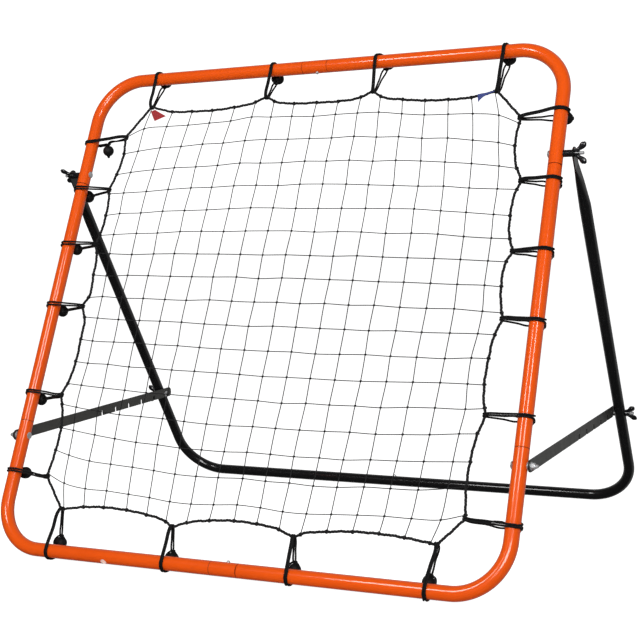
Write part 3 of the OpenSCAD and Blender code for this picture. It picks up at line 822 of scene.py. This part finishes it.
def add_cord(geo, side, tie, fan, lie, given_hole):
    """One cord: out of the ball, round the border rope, over the tube's front, round its back,
    past both sides of the ball and closed on its neck. A cord with a given hole direction
    belongs to a hanging ball."""
    hanging = given_hole is not None
    along, inward, tube = side_frame(side, tie.crossing)
    knot, rope_way = nearest_on_rope(tie.knot)
    ball = ball_centre(side, tie)
    hole = hole_way(side, tie, given_hole)
    neck = ball + hole * (BALL_R + 1.6)
    to_knot = unit(knot - ball)
    across = along * math.cos(lie * math.pi / 2) + BEHIND * math.sin(lie * math.pi / 2)
    sideways = across - (across @ hole) * hole
    sideways /= np.linalg.norm(sideways) + 1e-9
    rope_in = unit(inward - (inward @ rope_way) * rope_way)     # across the rope, to the net

    def on_tube(angle):
        """Cord axis round the tube: 0 faces the net, a quarter turn faces the front."""
        return tube + CORD_WRAP_R * (math.cos(angle) * inward - math.sin(angle) * BEHIND)

    # angles where the cord meets the tube's front and leaves its back for the neck
    meet_angle = math.acos(min(0.95, CORD_WRAP_R / abs((knot - tube) @ inward)))
    neck_in, neck_behind = (neck - tube) @ inward, (neck - tube) @ BEHIND
    neck_far = max(math.hypot(neck_in, neck_behind), CORD_WRAP_R + 0.05)
    leave_angle = (math.atan2(-neck_behind, neck_in) % (2 * math.pi)
                   - math.acos(min(0.999, CORD_WRAP_R / neck_far)))
    if leave_angle < 1.0:
        leave_angle += 2 * math.pi
    drift = (neck - tube) @ along       # how far the ball sits from the crossing
    leave = on_tube(leave_angle) + along * drift * 0.8

    def strand(sign):
        points = [ball + hole * (BALL_R - 3.5) + sideways * sign * 1.5,
                  ball + hole * (BALL_R + 0.5) + sideways * sign * 1.6]
        # from the ball to the back of the border rope
        if hanging:
            near_ball = neck + hole * 1.2 + to_knot * 3.4 + BEHIND * sign * 1.8
            at_rope = knot + BEHIND * 4.9 + along * sign * 1.8 - rope_in * 0.8
        else:
            near_ball = ball + hole * (BALL_R + 4.0) + sideways * sign * fan
            at_rope = (knot + BEHIND * (4.9 + 1.4 * sign * lie)
                       + along * sign * 1.85 * (1 - 0.5 * lie) - rope_in * 0.8)
        points += [near_ball, near_ball * 0.5 + at_rope * 0.5, at_rope]
        # round the rope to its front
        points += [knot + rope_in * 4.2 + along * sign * 1.9 + BEHIND * 1.0,
                   knot + rope_in * 2.6 + along * sign * 1.8 - BEHIND * 3.6,
                   knot - BEHIND * 4.8 - rope_in * 1.8 + along * sign * 1.8]
        # over the tube, widening behind it to pass the ball
        front = on_tube(meet_angle) + along * sign * tie.gap
        points += [points[-1] * 0.5 + front * 0.5, front]
        back_gap = tie.gap if hanging else 6.8
        steps = 9
        for i in range(1, steps + 1):
            f = i / steps
            angle = meet_angle + (leave_angle - meet_angle) * f
            wide = tie.gap + (back_gap - tie.gap) * max(0.0, (f - 0.45) / 0.55) ** 1.3
            shift = along * drift * 0.8 * max(0.0, f - 0.35) / 0.65
            points.append(on_tube(angle) + along * sign * wide + shift)
        # from the tube's back to the neck, clear of the ball
        for f in (0.2, 0.4, 0.6, 0.8, 0.93):
            line = leave * (1 - f) + neck * f
            if hanging:
                points.append(line + BEHIND * sign * (3.0 - 0.6 * f) + hole * 0.6)
                continue
            off_ball = line - ball
            off_ball = off_ball - (off_ball @ along) * along
            clear = (BALL_R + CORD_R + 0.15) ** 2 - off_ball @ off_ball
            needed = math.sqrt(max(0.0, clear))
            easy = 6.6 * (1 - f) + 2.6 * f
            points.append(line + along * sign * max(needed, easy))
        return points

    first, second = strand(1), strand(-1)
    # the loop that joins the strands, on the far side of the neck
    away = neck - first[-2] * 0.5 - second[-2] * 0.5
    away = away - (away @ hole) * hole
    away = away - (away @ along) * along
    length = np.linalg.norm(away)
    away = away / length if length > 1e-6 else to_knot
    loop = [neck + sideways * 4.2 - away * 0.4,
            neck + sideways * 3.0 + away * 2.8 + hole * 0.5,
            neck + away * 3.9 + hole * 0.7,
            neck - sideways * 3.0 + away * 2.8 + hole * 0.5,
            neck - sideways * 4.2 - away * 0.4]
    path = spline(first + loop + second[::-1], 1.5)
    sweep(geo, path, carried_frames(path), CORD_R, 10, shape=cord_section)


def ball_template():
    """Moulded ball about z: parting ridge between two grooves, and dished poles."""
    profile = [(0.0, BALL_R - 1.6), (1.9, BALL_R - 1.5), (2.3, BALL_R - 0.5),
               (3.1, BALL_R - 0.25)]
    for k in range(6, 43):
        a = k / 48 * math.pi
        ridge = 0.16 * math.exp(-((a - math.pi / 2) / 0.022) ** 2)
        groove = -0.10 * math.exp(-((abs(a - math.pi / 2) - 0.09) / 0.03) ** 2)
        r = BALL_R + ridge + groove
        profile.append((r * math.sin(a), r * math.cos(a)))
    profile += [(3.3, -BALL_R + 0.25), (2.9, -BALL_R - 0.9), (2.0, -BALL_R - 1.1),
                (0.0, -BALL_R - 1.0)]
    verts, quads, tris = lathe(profile, 36)
    # the profile runs from the top down, so the faces are turned outward
    return verts, quads[:, ::-1], tris[:, ::-1]


BALL_VERTS, BALL_QUADS, BALL_TRIS = ball_template()


def add_tails(geo, ball, hole, seed, tuck):
    """The two cut ends of the cord, knotted at the end of the ball away from its neck."""
    axes = rot_to(hole)
    centre = ball - hole * (BALL_R + 1.6 - tuck)
    turn = random.Random(seed).uniform(0, 6.28)
    x = math.cos(turn) * axes[:, 0] + math.sin(turn) * axes[:, 1]
    y = -math.sin(turn) * axes[:, 0] + math.cos(turn) * axes[:, 1]
    ends = [  # points as (along the hole, x, y) from the knot's centre
        [(2.2, 0.9, 0), (0.6, 1.5, 0.6), (0.2, 0.6, 1.7), (0.1, -1.5, 0.8), (0.3, -1.3, -1.3),
         (0.1, 0.8, -1.4), (-0.9, 1.1, 0.2), (-1.7, 1.4, 0.7)],
        [(2.2, -0.9, 0), (0.4, -0.9, -0.3), (-0.6, -1.1, 0.1), (-1.5, -1.3, -0.5)],
    ]
    for points in ends:
        path = spline([centre + hole * h + x * a + y * b for h, a, b in points], 0.9)
        sweep(geo, path, carried_frames(path), 1.25, 8)


def tie_objects(label, side, picks, fan, lie, given_hole=None):
    """Cords, balls and tails of some of a side's ties; the balls and tails follow the front frame."""
    cords, balls, tails = Geo(), Geo(), Geo()
    for k in picks:
        tie = TIES[side][k]
        add_cord(cords, side, tie, fan, lie, given_hole)
        centre, hole = ball_centre(side, tie), hole_way(side, tie, given_hole)
        balls.add(BALL_VERTS @ rot_to(hole).T + centre, BALL_QUADS, BALL_TRIS)
        add_tails(tails, centre, hole, seed=100 * ord(side[0]) + k,
                  tuck=2.6 if side == "right" else 0.0)
    cords_obj = cords.obj(f"{label}_tie_cords", CORD)
    balls_obj = balls.obj(f"{label}_tie_balls", BALL)
    tails_obj = tails.obj(f"{label}_tie_tails", CORD)
    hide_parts(f"{side}_bungee_cords")
    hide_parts(f"{side}_bungee_balls")
    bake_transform(cords_obj)
    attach(balls_obj, "front_frame")
    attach(tails_obj, "front_frame")


for side in ("top", "right", "bottom", "left"):
    picks = range(5) if side == "left" else range(len(TIES[side]))
    tie_objects(side, side, picks, FANS[side], LIES[side])
tie_objects("left_hanging", "left", [5], FANS["left"], HANGING_LIE,
            given_hole=HANGING_HOLE)


# ------------------------------------------------------------------ ribbons at the top corners
def ribbon_rows(corners, wave, depth, taper=1.0):
    """Point grid between corners (root upper, tip upper, tip lower, root lower), each given as
    (across, up). depth(a, b) is the place behind the plane; taper scales the tip's breadth."""
    root_up, tip_up, tip_low, root_low = [np.array(corner, float) for corner in corners]
    rows = []
    for a in np.linspace(0, 1, 26):
        row = []
        for b in np.linspace(0, 1, 18) * (taper + (1 - taper) * a ** 1.8):
            place = (1 - a) * ((1 - b) * root_up + b * root_low) \
                + a * ((1 - b) * tip_up + b * tip_low)
            behind = depth(a, b) + wave * math.sin(a * 5.0 + b * 2.2) * a
            row.append((place[0], behind, place[1]))
        rows.append(row)
    return np.array(rows, float)


def ribbon(color, grid, mat, thick=0.5):
    """A strip with thickness on both sides of the point grid, closed round its edge."""
    normal = np.cross(np.gradient(grid, axis=0), np.gradient(grid, axis=1))
    normal /= np.linalg.norm(normal, axis=2, keepdims=True) + 1e-12
    front, back = grid + normal * thick / 2, grid - normal * thick / 2
    n, m = grid.shape[:2]
    offset = n * m
    face = grid_quads(n, m, closed_cols=False)[:, FLIPPED]
    edge = [(0, j) for j in range(m)] + [(i, m - 1) for i in range(1, n)]
    edge += [(n - 1, j) for j in range(m - 2, -1, -1)] + [(i, 0) for i in range(n - 2, 0, -1)]
    ids = np.array([i * m + j for i, j in edge])
    following = np.roll(ids, -1)
    rim = np.stack([ids, following, following + offset, ids + offset], -1)
    geo = Geo()
    geo.add(np.concatenate([front.reshape(-1, 3), back.reshape(-1, 3)]),
            np.concatenate([face, face[:, ::-1] + offset, rim]))
    obj = geo.obj(f"{color}_woven_ribbon", mat)
    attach(obj, "net")
    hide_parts(f"{color}_corner_tag")


ribbon("red", ribbon_rows([(-350, 893.5), (-317, 874.4), (-343.3, 866.4), (-360.5, 891)],
                          wave=1.4, depth=lambda a, b: -4.2 - 3.6 * a + 1.5 * b * (1 - a)), RED)
ribbon("blue", ribbon_rows([(366, 885.5), (333.5, 877.5), (335.0, 863.6), (362, 880.6)],
                           wave=1.0, depth=lambda a, b: -3.6 - 3.0 * a + 2.0 * b,
                           taper=0.35), BLUE)

# ------------------------------------------------------------------ wing nuts, mm
# Outer profile of the base: radius, height
NUT_PROFILE = [(3.08, 0.0), (6.2, 0.0), (6.6, 0.5), (6.55, 1.6), (6.0, 3.2), (5.45, 5.4),
               (5.2, 7.2), (4.9, 7.9), (4.3, 8.2), (3.6, 8.2), (3.1, 7.7)]
# Sections of a wing: distance out, height, half breadth, half thickness
WING_SECTIONS = np.array([
    (3.6, 3.2, 3.5, 3.2), (5.4, 4.6, 3.4, 3.1), (7.2, 7.0, 3.5, 3.0), (9.0, 9.6, 4.3, 3.1),
    (10.8, 11.6, 5.2, 3.3), (12.6, 13.4, 5.7, 3.4), (14.2, 15.0, 5.6, 3.4),
    (15.6, 16.4, 4.8, 3.2), (16.4, 17.1, 3.2, 2.4),
])
# Extra sections that round off the tip: distance past the last one, scale
WING_TIP = [(1.0, 0.90), (1.7, 0.70), (2.1, 0.42)]


def nut_base(geo):
    """Ring with a threaded bore."""
    angle = circle(40)
    profile = list(NUT_PROFILE)
    for k in range(24, 0, -1):
        height = 7.6 * k / 25
        profile.append((3.06 + 0.16 * math.cos(height * 2 * math.pi), height))
    rings = [np.stack([r * np.cos(angle), r * np.sin(angle), np.full(40, height)], -1)
             for r, height in profile]
    geo.add(np.concatenate(rings), grid_quads(len(rings), 40, closed_rows=True))


def smooth_column(column):
    """Resample one column of the wing sections and soften it."""
    fine = np.interp(np.linspace(0, len(column) - 1, 30), np.arange(len(column)), column)
    for _ in range(2):
        fine[1:-1] = (fine[:-2] + 2 * fine[1:-1] + fine[2:]) / 4
    return fine


def nut_wings(geo):
    """Two leaf-shaped wings, lofted through ovals along a bent axis."""
    out, height, half, thick = [smooth_column(column) for column in WING_SECTIONS.T]
    axis = np.stack([out, height], -1)
    tangent = np.gradient(axis, axis=0)
    tangent /= np.linalg.norm(tangent, axis=1, keepdims=True)
    last_axis, last_tangent, last_half, last_thick = axis[-1], tangent[-1], half[-1], thick[-1]
    for past, scale in WING_TIP:
        axis = np.vstack([axis, last_axis + last_tangent * past])
        tangent = np.vstack([tangent, last_tangent])
        half, thick = np.append(half, last_half * scale), np.append(thick, last_thick * scale)
    normal = np.stack([-tangent[:, 1], tangent[:, 0]], -1)
    angle = circle(20)
    squared_sin = np.abs(np.sin(angle)) ** 0.8
    for sign in (1, -1):
        rings = []
        for k in range(len(axis)):
            x = thick[k] * np.sign(np.sin(angle)) * squared_sin
            y = axis[k, 0] + normal[k, 0] * half[k] * np.cos(angle)
            z = axis[k, 1] + normal[k, 1] * half[k] * np.cos(angle)
            rings.append(np.stack([x, sign * y, z], -1))
        verts = np.vstack([np.concatenate(rings), rings[0].mean(0), rings[-1].mean(0)])
        quads, tris = grid_quads(len(rings), 20), cap_tris(len(rings), 20)
        if sign > 0:
            quads, tris = quads[:, ::-1], tris[:, ::-1]
        geo.add(verts, quads, tris)


def wing_nut(label, side, seat, turn):
    """Cast wing nut. side: -1 left, 1 right; seat: (distance from the centre line, y, z) of its
    base; turn: angle of the wings from upright."""
    cos, sin = math.cos(turn), math.sin(turn)

    def place(points):
        """The nut's z axis points outward; its y axis runs along the wings."""
        across, along, out = points[:, 0], points[:, 1], points[:, 2]
        return np.stack([side * seat[0] + side * out,
                         seat[1] + along * -sin + across * cos,
                         seat[2] + along * cos + across * sin], -1) / 1000.0

    geo = Geo()
    nut_base(geo)
    nut_wings(geo)
    obj = geo.obj(f"{label}_cast_wing_nut", IRON, place)
    bm = bmesh.new()
    bm.from_mesh(obj.data)
    bmesh.ops.recalc_face_normals(bm, faces=bm.faces)
    bm.to_mesh(obj.data)
    bm.free()
    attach(obj, f"{label}_nut")
    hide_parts(f"{label}_wing_nut")


PIVOT_SEAT = (FLAT_IN + FLAT_T + 0.1, PIVOT_Y - MID_Y, PIVOT_Z)
LEG_SEAT = (LEG_X + LEG_R + 0.1, LEG_BOLT_Y - MID_Y, LEG_BOLT_Z)
wing_nut("left_pivot", -1, PIVOT_SEAT, turn=math.radians(46))
wing_nut("right_pivot", 1, PIVOT_SEAT, turn=math.radians(0))
wing_nut("left_leg", -1, LEG_SEAT, turn=math.radians(5))
wing_nut("right_leg", 1, LEG_SEAT, turn=math.radians(40))


# ------------------------------------------------------------------ floor, light, camera
def studio_floor():
    bpy.ops.mesh.primitive_plane_add(size=30, location=(0, 0, 0))
    floor = bpy.context.object
    floor.name = "studio_floor"
    sh = Shader("pale_floor")
    clouds = sh.ramp(sh.noise(3, detail=3), 0.3, 0.7)
    camera_ray = sh.node("LightPath").outputs["Is Camera Ray"]
    sh.surface({
        "Base Color": sh.mix(clouds, (0.50, 0.50, 0.50), (0.52, 0.52, 0.52)),
        "Roughness": 0.9,
        "Specular IOR Level": 0.0,
        # lit to white for the camera only
        "Emission Color": (1, 1, 1, 1),
        "Emission Strength": sh.times(camera_ray, 0.92),
    })
    floor.data.materials.append(sh.material)
    floor.visible_glossy = False


def studio_world():
    """White surroundings whose strength depends on the kind of ray."""
    dome = 0.30             # light on surfaces
    gloss_front = 0.022     # reflections of the front
    gloss_back = 0.26       # reflections of the bright sweep behind
    sky = 1.2               # what the camera sees
    studio = bpy.data.worlds.new("studio")
    bpy.context.scene.world = studio
    studio.use_nodes = True
    nodes, links = studio.node_tree.nodes, studio.node_tree.links
    nodes.clear()
    output = nodes.new("ShaderNodeOutputWorld")
    light_path = nodes.new("ShaderNodeLightPath")

    def background(strength):
        node = nodes.new("ShaderNodeBackground")
        node.inputs[0].default_value = (1, 1, 1, 1)
        node.inputs[1].default_value = strength
        return node

    def switch(ray, otherwise, chosen):
        node = nodes.new("ShaderNodeMixShader")
        links.new(light_path.outputs[ray], node.inputs[0])
        links.new(otherwise, node.inputs[1])
        links.new(chosen, node.inputs[2])
        return node.outputs[0]

    coords = nodes.new("ShaderNodeTexCoord")
    split = nodes.new("ShaderNodeSeparateXYZ")
    links.new(coords.outputs["Generated"], split.inputs[0])
    ramp = nodes.new("ShaderNodeMapRange")
    ramp.interpolation_type = "SMOOTHSTEP"
    links.new(split.outputs[1], ramp.inputs[0])
    for k, value in enumerate((0.05, 0.55, gloss_front, gloss_back), start=1):
        ramp.inputs[k].default_value = value
    reflected = background(gloss_front)
    links.new(ramp.outputs[0], reflected.inputs[1])
    shader = switch("Is Glossy Ray", background(dome).outputs[0], reflected.outputs[0])
    shader = switch("Is Camera Ray", shader, background(sky).outputs[0])
    links.new(shader, output.inputs[0])


def area_light(name, location, width, height, power, specular=1.0):
    """Rectangular light aimed at the middle of the frame."""
    light = bpy.data.lights.new(name, "AREA")
    light.shape = "RECTANGLE"
    light.size, light.size_y, light.energy = width, height, power
    light.specular_factor = specular
    obj = bpy.data.objects.new(name, light)
    bpy.context.scene.collection.objects.link(obj)
    obj.location = location
    aim = Vector((0, -0.1, 0.45)) - Vector(location)
    obj.rotation_euler = aim.to_track_quat("-Z", "Y").to_euler()


def add_camera():
    """Camera in front, to the right, looking slightly down."""
    data = bpy.data.cameras.new("camera")
    data.sensor_width = 36.0
    data.lens = 74.0638125
    data.clip_start, data.clip_end = 0.05, 100
    camera = bpy.data.objects.new("camera", data)
    bpy.context.scene.collection.objects.link(camera)
    azimuth, drop, roll = math.radians(25.98), math.radians(5.51), math.radians(-1.99)
    forward = Vector((-math.sin(azimuth) * math.cos(drop), math.cos(azimuth) * math.cos(drop),
                      -math.sin(drop)))
    right = forward.cross(Vector((0, 0, 1))).normalized()
    up = right.cross(forward).normalized()
    rolled_right = right * math.cos(roll) + up * math.sin(roll)
    rolled_up = -right * math.sin(roll) + up * math.cos(roll)
    pose = Matrix((rolled_right, rolled_up, -forward)).transposed().to_4x4()
    pose.translation = Vector((1.1059, -2.2441, 0.6433))
    camera.matrix_world = pose
    bpy.context.scene.camera = camera


studio_floor()
studio_world()
area_light("key", (1.25, -3.3, 1.5), width=1.5, height=1.0, power=55, specular=0.0)
area_light("window_right", (2.873, -3.487, 3.510), width=0.9, height=1.2, power=51)
area_light("window_left", (-0.631, -1.922, 1.841), width=0.42, height=0.62, power=12)
add_camera()
bpy.context.scene.view_settings.view_transform = "Standard"
